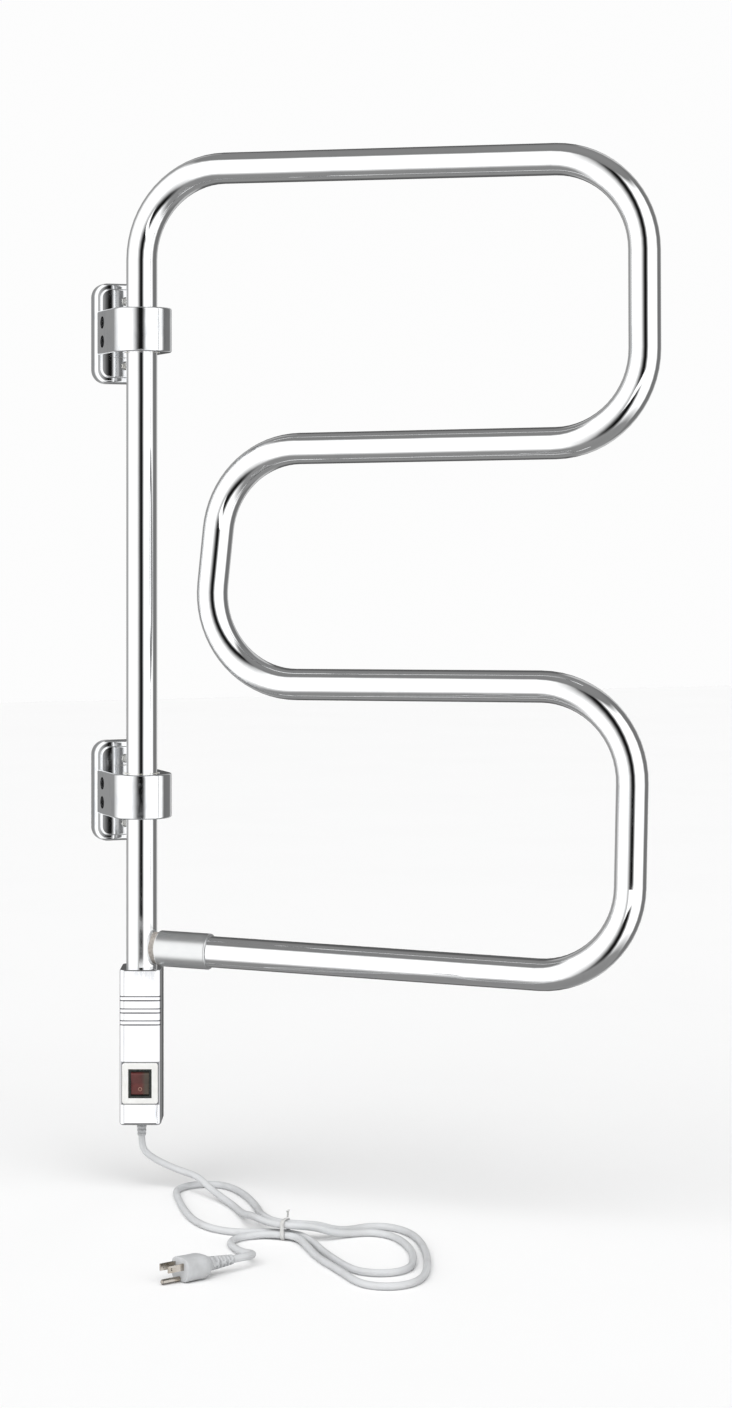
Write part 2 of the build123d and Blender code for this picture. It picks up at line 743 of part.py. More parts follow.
def on_plug(distance, raised=0.0):
    """A plane square to the plug, distance millimetres past the end of the lead."""
    start = plug_start + flat_way * distance + Vector(0, 0, raised)
    return Plane(origin=start, x_dir=flat_way.cross(Vector(0, 0, 1)), z_dir=flat_way)


relief_length = 27.0
body_length = 33.0
with BuildPart() as plug_relief:
    with BuildSketch(on_plug(0)):
        Circle(cord_r + 1)
    with BuildSketch(on_plug(relief_length)):
        Circle(cord_r + 3.2)
    loft()
save(plug_relief, "plug_relief")

with BuildPart() as plug_body:
    with BuildSketch(on_plug(relief_length)):
        RectangleRounded(15, 14, 5)
    with BuildSketch(on_plug(relief_length + 10)):
        RectangleRounded(26, 22, 8)
    loft()
    with BuildSketch(on_plug(relief_length + 10)):
        RectangleRounded(26, 22, 8)
    extrude(amount=body_length - 10)
save(plug_body, "plug_body")

face_at = relief_length + body_length
with BuildPart() as plug_blades:
    with BuildSketch(on_plug(face_at, 3.5)):
        with Locations((blade_spacing / 2, 0), (-blade_spacing / 2, 0)):
            Rectangle(1.5, 6.3)
    extrude(amount=17)
    with BuildSketch(on_plug(face_at + 13, 3.5)):
        with Locations((blade_spacing / 2, 0), (-blade_spacing / 2, 0)):
            Circle(1.5)
    extrude(amount=1)
save(plug_blades, "plug_blades")

with BuildPart() as plug_ground_pin:
    with BuildSketch(on_plug(face_at, 3.5 - ground_offset)):
        Circle(2.4)
    extrude(amount=20)
    fillet(plug_ground_pin.faces().sort_by(Axis(plug_start, flat_way))[-1].edges(), radius=1.6)
save(plug_ground_pin, "plug_ground_pin")
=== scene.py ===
import json
from math import cos, pi, radians, sin

import bmesh
import bpy
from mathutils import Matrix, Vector


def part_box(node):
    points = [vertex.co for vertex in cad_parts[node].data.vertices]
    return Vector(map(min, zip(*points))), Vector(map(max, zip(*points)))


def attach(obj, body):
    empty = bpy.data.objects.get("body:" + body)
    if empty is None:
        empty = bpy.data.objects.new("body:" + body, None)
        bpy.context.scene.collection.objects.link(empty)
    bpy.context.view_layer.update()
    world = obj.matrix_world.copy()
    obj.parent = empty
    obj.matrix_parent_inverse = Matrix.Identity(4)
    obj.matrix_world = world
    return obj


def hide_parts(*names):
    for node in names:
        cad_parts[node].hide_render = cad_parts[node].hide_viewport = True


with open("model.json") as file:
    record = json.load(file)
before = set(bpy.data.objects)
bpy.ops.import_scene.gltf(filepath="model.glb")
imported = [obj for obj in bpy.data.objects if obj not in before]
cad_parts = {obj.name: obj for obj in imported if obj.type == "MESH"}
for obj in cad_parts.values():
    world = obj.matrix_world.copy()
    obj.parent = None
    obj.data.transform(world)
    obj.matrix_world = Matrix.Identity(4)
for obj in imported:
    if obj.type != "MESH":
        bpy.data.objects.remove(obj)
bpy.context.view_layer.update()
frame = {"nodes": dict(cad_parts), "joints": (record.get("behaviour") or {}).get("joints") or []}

cad = frame["nodes"]
up = Vector((0, 0, 1))

# ---- Camera ----
# A long lens, level with the middle of the rack, 22 degrees to the left of square to the
# wall. It is shifted down instead of tilted, so that uprights stay upright.
swivel = next(j for j in frame["joints"] if j["name"] == "rack_swivel")
post_x, post_y = swivel["pos_m"][:2]
view_turn = radians(22)
sideways = Vector((cos(view_turn), -sin(view_turn), 0))
away = Vector((sin(view_turn), cos(view_turn), 0))
eye_aside, eye_back, eye_height = 0.2332, 3.12, -0.197
lens = bpy.data.cameras.new("camera")
lens.sensor_width = 36
lens.lens = 76.7
lens.shift_y = -0.1307
camera = bpy.data.objects.new("camera", lens)
camera.location = Vector((post_x, post_y, eye_height)) + sideways * eye_aside - away * eye_back
camera.rotation_euler = (radians(90), 0, -view_turn)
bpy.context.scene.collection.objects.link(camera)
bpy.context.scene.camera = camera

# ---- Mains lead ----
# A three core flexible lead with a pale grey PVC sheath, 7 mm across. It leaves the gland
# under the housing, lies on the floor in a loose hank that a tie holds, and ends in a plug.
floor_z = -0.889
cord_r = 0.0035

# In the tie's loop two strands pass low, just off the floor, and two pass high, over them.
low = cord_r + 0.0015
high = 0.0148

# Each point is (along the wall, off the wall, height above the floor).
route = [
    (0, -0.072, 0.052), (0, -0.072, 0.04), (0.007, -0.076, 0.031), (0.021, -0.086, 0.023),
    (0.034, -0.102, 0.018), (0.042, -0.128, 0.0176), (0.048, -0.162, 0.008),
    (0.053, -0.208, cord_r), (0.046, -0.256, cord_r + 0.002), (0.0385, -0.3, high),
    (0.0434, -0.3406, high), (0.0642, -0.3594, high), (0.08, -0.367, high - 0.001),
    (0.098, -0.368, 0.007), (0.118, -0.363, cord_r), (0.137, -0.366, cord_r),
    (0.149, -0.379, cord_r), (0.153, -0.401, cord_r), (0.15, -0.43, cord_r),
    (0.143, -0.458, cord_r), (0.128, -0.494, cord_r), (0.115, -0.511, cord_r),
    (0.097, -0.518, cord_r), (0.079, -0.511, cord_r), (0.068, -0.494, cord_r),
    (0.0665, -0.457, cord_r), (0.068, -0.418, cord_r), (0.072, -0.385, cord_r),
    (0.0696, -0.3534, low), (0.0488, -0.3346, low), (0.031, -0.324, cord_r),
    (0.012, -0.312, cord_r), (-0.001, -0.29, cord_r), (-0.005, -0.255, cord_r),
    (0, -0.212, cord_r), (0.009, -0.168, cord_r), (0.018, -0.128, cord_r),
    (0.03, -0.111, cord_r), (0.049, -0.1035, cord_r), (0.068, -0.111, cord_r),
    (0.078, -0.128, cord_r), (0.08, -0.165, cord_r), (0.075, -0.21, cord_r),
    (0.064, -0.256, cord_r + 0.002), (0.049, -0.3, high), (0.0488, -0.3346, high),
    (0.0696, -0.3534, high), (0.086, -0.358, high - 0.001), (0.104, -0.356, 0.007),
    (0.123, -0.348, cord_r), (0.143, -0.342, cord_r), (0.16, -0.348, cord_r),
    (0.17, -0.366, cord_r), (0.172, -0.395, cord_r), (0.165, -0.43, cord_r),
    (0.151, -0.474, cord_r), (0.132, -0.518, cord_r), (0.116, -0.545, cord_r),
    (0.099, -0.56, cord_r), (0.08, -0.564, cord_r), (0.063, -0.555, cord_r),
    (0.055, -0.536, cord_r), (0.056, -0.497, cord_r), (0.0545, -0.44, cord_r),
    (0.061, -0.395, cord_r), (0.0642, -0.3594, low), (0.0434, -0.3406, low),
    (0.028, -0.335, cord_r), (0.012, -0.338, cord_r), (0, -0.349, cord_r),
    (-0.005, -0.366, cord_r), (-0.006, -0.398, 0.005), (-0.0026, -0.4226, 0.0085),
    (-0.0132, -0.4392, 0.0113), (-0.0319, -0.445, 0.0113),
]
lead_line = bpy.data.curves.new("mains_lead", "CURVE")
lead_line.dimensions = "3D"
run = lead_line.splines.new("NURBS")
run.points.add(len(route) - 1)
for point, (x, y, h) in zip(run.points, route):
    point.co = (x, y, floor_z + h, 1)
    point.radius = cord_r
run.order_u = 3
run.use_endpoint_u = True
run.resolution_u = 12
lead_line.bevel_depth = 1.0  # times each point's own radius
lead_line.bevel_resolution = 6
mains_lead = bpy.data.objects.new("mains_lead", lead_line)
bpy.context.scene.collection.objects.link(mains_lead)
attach(mains_lead, "brackets")
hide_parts("power_cord")


def add(tree, kind, feeds=None, **settings):
    """A shader node. feeds gives its inputs a value, or another node's output."""
    node = tree.nodes.new("ShaderNode" + kind)
    for key, value in settings.items():
        setattr(node, key, value)
    for key, value in (feeds or {}).items():
        if isinstance(value, bpy.types.NodeSocket):
            tree.links.new(value, node.inputs[key])
        else:
            node.inputs[key].default_value = value
    return node


def maths(tree, operation, *values):
    """The result of a Math node on these values."""
    return add(tree, "Math", dict(enumerate(values)), operation=operation).outputs[0]


def blend_colours(tree, share, first, second):
    """A mix of two colours, by share."""
    return add(tree, "Mix", {0: share, 6: first, 7: second}, data_type="RGBA").outputs[2]


def ramp_between(tree, value, start, end, low_value=0.0, high_value=1.0):
    """The value brought from start..end to low_value..high_value, and held outside."""
    feeds = {0: value, 1: start, 2: end, 3: low_value, 4: high_value}
    return add(tree, "MapRange", feeds).outputs[0]


def start_group(name, inputs, outputs):
    """A node group with named sockets: its tree, its input node and its output node."""
    tree = bpy.data.node_groups.new(name, "ShaderNodeTree")
    for label, kind, value in inputs:
        socket = tree.interface.new_socket(label, in_out="INPUT", socket_type="NodeSocket" + kind)
        socket.default_value = value
    for label, kind in outputs:
        tree.interface.new_socket(label, in_out="OUTPUT", socket_type="NodeSocket" + kind)
    return tree, tree.nodes.new("NodeGroupInput").outputs, tree.nodes.new("NodeGroupOutput").inputs


# Moulded plastic and rubber: cloudy tone, a little soiling, and a fine moulding grain.
moulded, given, gives = start_group(
    "moulded_surface",
    [
        ("Colour", "Color", (0.8, 0.8, 0.8, 1)), ("Soiled", "Color", (0.5, 0.5, 0.5, 1)),
        ("Soil", "Float", 0.3), ("Cloud scale", "Float", 60.0), ("Grain scale", "Float", 1500.0),
        ("Roughness", "Float", 0.4), ("Spread", "Float", 0.2),
    ],
    [("Colour", "Color"), ("Roughness", "Float"), ("Height", "Float")],
)
place = add(moulded, "TexCoord").outputs["Object"]
cloud = add(moulded, "TexNoise", {"Vector": place, "Scale": given["Cloud scale"], "Detail": 5.0})
grain = add(moulded, "TexNoise", {"Vector": place, "Scale": given["Grain scale"], "Detail": 2.0})
dirty = ramp_between(moulded, cloud.outputs["Fac"], 0.45, 0.75, 0.0, given["Soil"])
tone = blend_colours(moulded, dirty, given["Colour"], given["Soiled"])
off_middle = maths(moulded, "SUBTRACT", cloud.outputs["Fac"], 0.5)
varied = maths(moulded, "MULTIPLY_ADD", off_middle, given["Spread"], given["Roughness"])
moulded.links.new(tone, gives["Colour"])
moulded.links.new(varied, gives["Roughness"])
moulded.links.new(grain.outputs["Fac"], gives["Height"])


def new_finish(name, metallic=0.0):
    """A material with its tree and its Principled shader."""
    material = bpy.data.materials.new(name)
    material.use_nodes = True
    shader = material.node_tree.nodes["Principled BSDF"]
    shader.inputs["Metallic"].default_value = metallic
    return material, material.node_tree, shader


def surface(tree, shader, group, values, bump=0.2, depth=0.0001):
    """Places a surface group in a material, and joins it to the shader through a bump."""
    node = tree.nodes.new("ShaderNodeGroup")
    node.node_tree = group
    for key, value in values.items():
        node.inputs[key].default_value = value
    tree.links.new(node.outputs["Colour"], shader.inputs["Base Color"])
    tree.links.new(node.outputs["Roughness"], shader.inputs["Roughness"])
    relief = add(tree, "Bump", {"Strength": bump, "Distance": depth, "Height": node.outputs["Height"]})
    tree.links.new(relief.outputs["Normal"], shader.inputs["Normal"])
    return node


sheath, tree, shader = new_finish("cord_sheath")
surface(tree, shader, moulded, {
    "Colour": (0.60, 0.61, 0.62, 1), "Soiled": (0.46, 0.46, 0.46, 1), "Soil": 0.5,
    "Cloud scale": 35, "Grain scale": 900, "Roughness": 0.36, "Spread": 0.25,
}, bump=0.12)
shader.inputs["Subsurface Weight"].default_value = 0.08
shader.inputs["Subsurface Radius"].default_value = (0.002, 0.002, 0.002)
mains_lead.data.materials.append(sheath)

# ---- Cord tie ----
# A pale grey twist tie of coated wire, 4 mm wide, once round the four strands of the hank
# where they cross. Its two ends are twisted together on top and then stand apart.


def shape_from(name, points, faces, material, body, slot):
    """A smooth shaded piece from points in the row frame, riding on a body."""
    mesh = bpy.data.meshes.new(name)
    mesh.from_pydata([tuple(p) for p in points], [], faces)
    mesh.materials.append(material)
    work = bmesh.new()
    work.from_mesh(mesh)
    bmesh.ops.recalc_face_normals(work, faces=work.faces)
    work.to_mesh(mesh)
    work.free()
    mesh.shade_smooth()
    piece = bpy.data.objects.new(name, mesh)
    bpy.context.scene.collection.objects.link(piece)
    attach(piece, body)
    return piece


def skin(rings, joined=False):
    """Faces over rings of points. joined closes the last ring on the first; else both are capped."""
    count = len(rings[0])
    points = [p for ring in rings for p in ring]
    last = len(rings) if joined else len(rings) - 1
    faces = []
    for a in range(last):
        b = (a + 1) % len(rings)
        for i in range(count):
            j = (i + 1) % count
            faces.append((a * count + i, a * count + j, b * count + j, b * count + i))
    if not joined:
        faces.append(tuple(range(count)))
        faces.append(tuple(range((len(rings) - 1) * count, len(rings) * count)))
    return points, faces


def circle(centre, x_way, y_way, radius, count=48):
    """Points round a circle that lies along two ways at right angles."""
    turns = [2 * pi * i / count for i in range(count)]
    return [centre + x_way * (radius * cos(t)) + y_way * (radius * sin(t)) for t in turns]


tie_along = Vector((0.742, -0.67, 0)).normalized()
tie_side = Vector((0.67, 0.742, 0)).normalized()
tie_at = Vector((0.0565, -0.347, floor_z + 0.0099))
tie_width, tie_thickness = 0.004, 0.00035
half_wide, half_high, corner_r = 0.0084, 0.0094, 0.0042
corner_steps, tail_steps = 8, 24
tail_foot, tail_rise, tail_turns = (0.0062, 0.0097), 0.0068, 1.3
tail_width, tail_thickness, tail_lean = 0.0016, 0.0003, 0.0016
twisted_share = 0.6  # of each end's length; the rest stands apart
# How far each end stands off the line between the two where twisted, and how much more at its tip.
half_gap, parting = 0.00055, 0.0021


def on_tie(across, height):
    """A point in the plane of the loop, from the middle of the four strands."""
    return tie_at + tie_side * across + up * height


def band_ring(centre, wide_way, thick_way, width, thickness):
    """One section of the tie: a flat strip with a ridge over the wire in its middle."""
    places = (
        (-1, -0.5), (-0.35, -0.5), (0, -0.8), (0.35, -0.5), (1, -0.5),
        (1, 0.5), (0.35, 0.5), (0, 1.0), (-0.35, 0.5), (-1, 0.5),
    )
    return [centre + wide_way * (w * width / 2) + thick_way * (t * thickness) for w, t in places]


loop = []
for corner, (sx, sy) in enumerate(((1, 1), (-1, 1), (-1, -1), (1, -1))):
    for step in range(corner_steps + 1):
        turn = pi / 2 * (corner + step / corner_steps)
        outward = tie_side * cos(turn) + up * sin(turn)
        middle = on_tie(sx * (half_wide - corner_r), sy * (half_high - corner_r))
        middle += outward * corner_r
        loop.append(band_ring(middle, tie_along, outward, tie_width, tie_thickness))
points, faces = skin(loop, joined=True)
for side in (1, -1):
    tail = []
    for step in range(tail_steps + 1):
        share = step / tail_steps
        twist = 2 * pi * tail_turns * min(share / twisted_share, 1)
        outward = tie_along * cos(twist) + tie_side * sin(twist)
        spread = max(share - twisted_share, 0) / (1 - twisted_share)
        lean = tail_foot[0] + tail_lean * share + side * parting * spread ** 1.5
        middle = on_tie(lean, tail_foot[1] + tail_rise * share)
        middle += outward * (side * half_gap)
        wide_way = (tie_side * cos(twist) - tie_along * sin(twist)).normalized()
        width = tail_width * (1 + spread / 2)
        tail.append(band_ring(middle, wide_way, outward, width, tail_thickness))
    more_points, more_faces = skin(tail)
    faces += [tuple(i + len(points) for i in face) for face in more_faces]
    points += more_points
tie_paper, tree, shader = new_finish("tie_paper")
surface(tree, shader, moulded, {
    "Colour": (0.60, 0.60, 0.59, 1), "Soiled": (0.40, 0.39, 0.37, 1), "Soil": 0.5,
    "Cloud scale": 300, "Grain scale": 3500, "Roughness": 0.55, "Spread": 0.2,
}, bump=0.3)
cord_tie = shape_from("cord_twist_tie", points, faces, tie_paper, "brackets", "tie_white")
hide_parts("cord_tie")

# ---- Plug ----
# A moulded three pin plug of grey PVC on its side: a slotted strain relief, a body with round
# shoulders and hollow flanks, two flat nickel plated blades and a round earth pin.
plug_start = Vector((-0.0319, -0.445, floor_z + 0.0113))
plug_way = Vector((-0.0187, -0.0058, 0)).normalized()
plug_side = plug_way.cross(up)
relief_length = 0.027
round_count = 48


def plug_ring(distance, half_width, half_height, squareness=2.0, count=round_count):
    """A rounded outline square to the plug. squareness 2 is an oval, more is boxier."""
    ring = []
    for i in range(count):
        t = 2 * pi * i / count
        c, s = cos(t), sin(t)
        wide = half_width * abs(c) ** (2 / squareness) * (1 if c >= 0 else -1)
        tall = half_height * abs(s) ** (2 / squareness) * (1 if s >= 0 else -1)
        ring.append(plug_start + plug_way * distance + plug_side * wide + up * tall)
    return ring


# Each slot of the relief goes round all but two narrow webs, which turn from slot to slot.
slot_count, slot_pitch, slot_depth = 5, 0.0042, 0.0019
first_slot = 0.0045
thin_end_r, thick_end_r = 0.0045, 0.0067
relief_rings = [plug_ring(0.0, cord_r + 0.0002, cord_r + 0.0002), plug_ring(0.0004, 0.0044, 0.0044)]
for number in range(slot_count):
    for offset, cut in ((-0.0012, 0), (-0.0009, 1), (0.0009, 1), (0.0012, 0)):
        distance = first_slot + slot_pitch * number + offset
        outer = thin_end_r + (thick_end_r - thin_end_r) * distance / relief_length
        ring = []
        for i in range(round_count):
            t = 2 * pi * i / round_count
            web = abs(cos(t + number * pi / 2)) > 0.96
            r = outer - (0 if web else cut * slot_depth)
            ring.append(plug_start + plug_way * distance + (plug_side * cos(t) + up * sin(t)) * r)
        relief_rings.append(ring)
relief_rings.append(plug_ring(0.0262, 0.0066, 0.0066))
relief_rings.append(plug_ring(relief_length, thick_end_r, thick_end_r))
grey_pvc, tree, shader = new_finish("grey_pvc")
surface(tree, shader, moulded, {
    "Colour": (0.52, 0.53, 0.54, 1), "Soiled": (0.38, 0.38, 0.38, 1), "Soil": 0.5,
    "Cloud scale": 90, "Grain scale": 1500, "Roughness": 0.40, "Spread": 0.2,
}, bump=0.2)
plug_relief = shape_from(
    "plug_strain_relief", *skin(relief_rings), grey_pvc, "brackets", "cord_grey"
)
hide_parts("plug_relief")

# Each section of the body: its distance, its half width, its half height and its squareness.
body_sections = (
    (0.0, 0.0066, 0.0064, 2.1), (0.0005, 0.0073, 0.0069, 2.1), (0.0025, 0.0090, 0.0078, 2.3),
    (0.005, 0.0109, 0.0091, 2.6), (0.0075, 0.0122, 0.0101, 2.9), (0.010, 0.0128, 0.0107, 3.2),
    (0.0125, 0.0129, 0.0109, 3.4), (0.020, 0.0126, 0.0107, 3.5), (0.0275, 0.0128, 0.0108, 3.5),
    (0.0315, 0.0129, 0.0109, 3.5), (0.0325, 0.0127, 0.0107, 3.5), (0.033, 0.0121, 0.0101, 3.4),
)
body_rings = [plug_ring(relief_length + d, w, h, n, 72) for d, w, h, n in body_sections]
plug_body = shape_from(
    "plug_moulded_body", *skin(body_rings), grey_pvc, "brackets", "cord_grey"
)
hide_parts("plug_body")

# Fine parallel lines, as turning, drawing or brushing leaves them.
lined, given, gives = start_group(
    "fine_lines",
    [
        ("Across", "Vector", (0, 0, 1)), ("Line scale", "Float", 3000.0),
        ("Colour", "Color", (0.8, 0.8, 0.8, 1)), ("Worn", "Color", (0.6, 0.6, 0.6, 1)),
        ("Wear", "Float", 0.4), ("Roughness", "Float", 0.3), ("Spread", "Float", 0.15),
    ],
    [("Colour", "Color"), ("Roughness", "Float"), ("Height", "Float")],
)
place = add(lined, "TexCoord").outputs["Object"]
along = add(lined, "VectorMath", {0: place, 1: given["Across"]}, operation="DOT_PRODUCT")
fine = add(
    lined, "TexNoise",
    {"W": along.outputs["Value"], "Scale": given["Line scale"], "Detail": 3.0, "Roughness": 0.8},
    noise_dimensions="1D",
)
patches = add(lined, "TexNoise", {"Vector": place, "Scale": 80.0, "Detail": 4.0})
worn = ramp_between(lined, patches.outputs["Fac"], 0.42, 0.7, 0.0, given["Wear"])
tone = blend_colours(lined, worn, given["Colour"], given["Worn"])
off_middle = maths(lined, "SUBTRACT", fine.outputs["Fac"], 0.5)
varied = maths(lined, "MULTIPLY_ADD", off_middle, given["Spread"], given["Roughness"])
lined.links.new(tone, gives["Colour"])
lined.links.new(varied, gives["Roughness"])
lined.links.new(fine.outputs["Fac"], gives["Height"])

nickel, tree, shader = new_finish("blade_nickel", metallic=1.0)
surface(tree, shader, lined, {
    "Across": (0.3, -0.95, 0.0), "Line scale": 3500, "Colour": (0.50, 0.47, 0.43, 1),
    "Worn": (0.30, 0.24, 0.17, 1), "Wear": 0.8, "Roughness": 0.22, "Spread": 0.2,
}, bump=0.12, depth=0.00005)


def finish_cad(material, *names):
    """Gives CAD pieces this finish."""
    for name in names:
        cad[name].material_slots[0].material = material


finish_cad(nickel, "plug_blades", "plug_ground_pin")
blunt = cad["plug_blades"].modifiers.new("blunt_edges", "BEVEL")
blunt.width = 0.0004
blunt.segments = 2
blunt.limit_method = "ANGLE"
blunt.angle_limit = radians(40)

# ---- Floor and light ----
# A pale matt floor under a pale backdrop. Wide soft panels stand all round the object, with
# unlit gaps between them, a dimmer ceiling and a white card low in front of it.
panel_strength = 1.25
floor_size = 16
bpy.context.scene.view_settings.view_transform = "Standard"
bpy.ops.mesh.primitive_grid_add(
    x_subdivisions=8, y_subdivisions=8, size=floor_size, location=(0, 0, floor_z)
)
floor = bpy.context.object
floor.name = "floor"
floor.visible_glossy = False
paper, tree, shader = new_finish("floor_paper")
surface(tree, shader, moulded, {
    "Colour": (0.90, 0.90, 0.90, 1), "Soiled": (0.88, 0.88, 0.88, 1), "Soil": 0.5,
    "Cloud scale": 2, "Grain scale": 300, "Roughness": 0.8, "Spread": 0.1,
}, bump=0.02)
shader.inputs["Specular IOR Level"].default_value = 0.1
floor.data.materials.append(paper)

sun = bpy.data.lights.new("soft_overhead", "SUN")
sun.energy = 2.15
sun.angle = radians(70)
overhead = bpy.data.objects.new("soft_overhead", sun)
overhead.rotation_euler = (radians(28), radians(-14), radians(-10))
overhead.visible_glossy = False
bpy.context.scene.collection.objects.link(overhead)


def stops(ramp, *places):
    """Sets a colour ramp's stops from (place, colour) pairs."""
    elements = ramp.color_ramp.elements
    while len(elements) < len(places):
        elements.new(0.5)
    for element, (place, colour) in zip(elements, places):
        element.position = place
        element.color = (*colour, 1) if isinstance(colour, tuple) else (colour, colour, colour, 1)


studio = bpy.data.worlds.new("studio")
studio.use_nodes = True
bpy.context.scene.world = studio
tree = studio.node_tree
way = add(tree, "TexCoord").outputs["Generated"]
to_camera = radians(90) + view_turn  # turns the camera's own direction onto +X
turned = add(tree, "Mapping", {"Vector": way, "Rotation": (0, 0, to_camera)})
round_about = add(tree, "TexGradient", {"Vector": turned.outputs[0]}, gradient_type="RADIAL")

# Places on the round ramps go from behind the object, by its left and front, to its right.
panels = add(tree, "ValToRGB", {0: round_about.outputs["Fac"]})
stops(
    panels, (0.0, 0.08), (0.03, 0.10), (0.06, 0.40), (0.095, 0.24), (0.13, 0.24), (0.19, 0.7),
    (0.235, 1.0), (0.405, 1.0), (0.44, 0.5), (0.468, 0.10), (0.487, 0.006), (0.518, 0.006),
    (0.537, 0.25), (0.56, 1.0), (0.735, 1.0), (0.775, 0.14), (0.89, 0.16), (0.92, 0.45),
    (0.96, 0.45), (0.98, 0.1),
)
upward = add(tree, "SeparateXYZ", {0: way}).outputs["Z"]
rise = ramp_between(tree, upward, -1.0, 1.0)
ends = add(tree, "ValToRGB", {0: rise})
stops(ends, (0.0, 0.20), (0.10, 0.22), (0.2, 0.10), (0.5, 0.5), (0.85, 0.16), (1.0, 0.2))
storey = add(tree, "ValToRGB", {0: rise})
stops(storey, (0.10, 0.0), (0.20, 1.0), (0.86, 1.0), (0.91, 0.0))
card_rise = add(tree, "ValToRGB", {0: rise})
stops(card_rise, (0.355, 0.0), (0.37, 1.0), (0.4265, 1.0), (0.428, 0.0))
card_width = add(tree, "ValToRGB", {0: round_about.outputs["Fac"]})
stops(card_width, (0.452, 0.0), (0.466, 1.0), (0.55, 1.0), (0.565, 0.0))
walls = blend_colours(tree, storey.outputs[0], ends.outputs[0], panels.outputs[0])
card = maths(tree, "MULTIPLY", card_rise.outputs[0], card_width.outputs[0])
room = blend_colours(tree, card, walls, (1, 1, 1, 1))
seen = add(tree, "LightPath").outputs["Is Camera Ray"]
backdrop = tree.nodes["Background"]
backdrop.inputs["Color"].default_value = (0.98, 0.98, 0.98, 1)
glow = add(tree, "Background", {"Color": room, "Strength": panel_strength})
either = add(tree, "MixShader", {0: seen, 1: glow.outputs[0], 2: backdrop.outputs[0]})
tree.links.new(either.outputs[0], tree.nodes["World Output"].inputs["Surface"])

# ---- The bent tube ----
# One length of 32 mm steel tube, bent to four rails and chrome plated. It turns in the two
# brackets, and the end of its bottom rail is held in a socket on its own post.

# Bright plating: almost clean, with drifts of haze, wiping marks and a slow ripple.
plated, given, gives = start_group(
    "plated_surface",
    [
        ("Colour", "Color", (0.9, 0.9, 0.9, 1)), ("Haze", "Color", (0.7, 0.72, 0.75, 1)),
        ("Hazed", "Float", 0.3), ("Cloud scale", "Float", 12.0), ("Wipe scale", "Float", 90.0),
        ("Ripple scale", "Float", 14.0), ("Roughness", "Float", 0.04), ("Spread", "Float", 0.06),
    ],
    [("Colour", "Color"), ("Roughness", "Float"), ("Height", "Float")],
)
place = add(plated, "TexCoord").outputs["Object"]
drawn_out = add(plated, "Mapping", {"Vector": place, "Scale": (1.0, 1.0, 0.22)})
cloud = add(plated, "TexNoise", {"Vector": place, "Scale": given["Cloud scale"], "Detail": 6.0})
wipes = add(
    plated, "TexNoise",
    {"Vector": drawn_out.outputs[0], "Scale": given["Wipe scale"], "Detail": 4.0, "Roughness": 0.7},
)
both = maths(plated, "MULTIPLY", cloud.outputs["Fac"], wipes.outputs["Fac"])
haze = ramp_between(plated, both, 0.24, 0.42)
amount = maths(plated, "MULTIPLY", haze, given["Hazed"])
tone = blend_colours(plated, amount, given["Colour"], given["Haze"])
varied = maths(plated, "MULTIPLY_ADD", haze, given["Spread"], given["Roughness"])
ripple = add(plated, "TexNoise", {"Vector": place, "Scale": given["Ripple scale"], "Detail": 1.0})
plated.links.new(tone, gives["Colour"])
plated.links.new(varied, gives["Roughness"])
plated.links.new(ripple.outputs["Fac"], gives["Height"])

tube_plate, tree, shader = new_finish("tube_plate", metallic=1.0)
surface(tree, shader, plated, {
    "Colour": (0.93, 0.935, 0.94, 1), "Haze": (0.80, 0.82, 0.84, 1), "Hazed": 0.5,
    "Cloud scale": 9, "Wipe scale": 70, "Ripple scale": 22, "Roughness": 0.035, "Spread": 0.07,
}, bump=0.5, depth=0.0006)
finish_cad(tube_plate, "heating_tube")

# ---- The socket of the bottom rail ----
# A turned steel sleeve in satin chrome, with fine lines round it. Its oval neck is drawn up
# by a stud against a grey fibre gasket that is shaped to the post.
swing = radians(42)
rail_slope = 0.0153
rail_way = Vector((cos(swing), -sin(swing), -rail_slope)).normalized()
socket_satin, tree, shader = new_finish("socket_satin", metallic=1.0)
surface(tree, shader, lined, {
    "Across": rail_way, "Line scale": 2600, "Colour": (0.84, 0.85, 0.85, 1),
    "Worn": (0.78, 0.79, 0.80, 1), "Wear": 0.5, "Roughness": 0.34, "Spread": 0.10,
}, bump=0.03, depth=0.00005)
finish_cad(socket_satin, "tube_socket")

fibre, tree, shader = new_finish("gasket_fibre")
surface(tree, shader, moulded, {
    "Colour": (0.42, 0.39, 0.36, 1), "Soiled": (0.20, 0.18, 0.16, 1), "Soil": 0.9,
    "Cloud scale": 400, "Grain scale": 1800, "Roughness": 0.62, "Spread": 0.3,
}, bump=0.5, depth=0.0002)
finish_cad(fibre, "saddle_gasket")

# ---- Wall brackets ----
# Each is a zinc casting, chrome plated: a stepped plate on the wall and a clamp in two
# halves, screwed to the plate from behind. The casting's skin shows as a soft ripple.
bracket_plate, tree, shader = new_finish("bracket_plate", metallic=1.0)
surface(tree, shader, plated, {
    "Colour": (0.90, 0.91, 0.92, 1), "Haze": (0.70, 0.72, 0.75, 1), "Hazed": 0.7,
    "Cloud scale": 40, "Wipe scale": 160, "Ripple scale": 60, "Roughness": 0.05, "Spread": 0.12,
}, bump=0.35, depth=0.0004)
for which in ("upper", "lower"):
    finish_cad(bracket_plate, which + "_clamp_arm", which + "_clamp_cover")

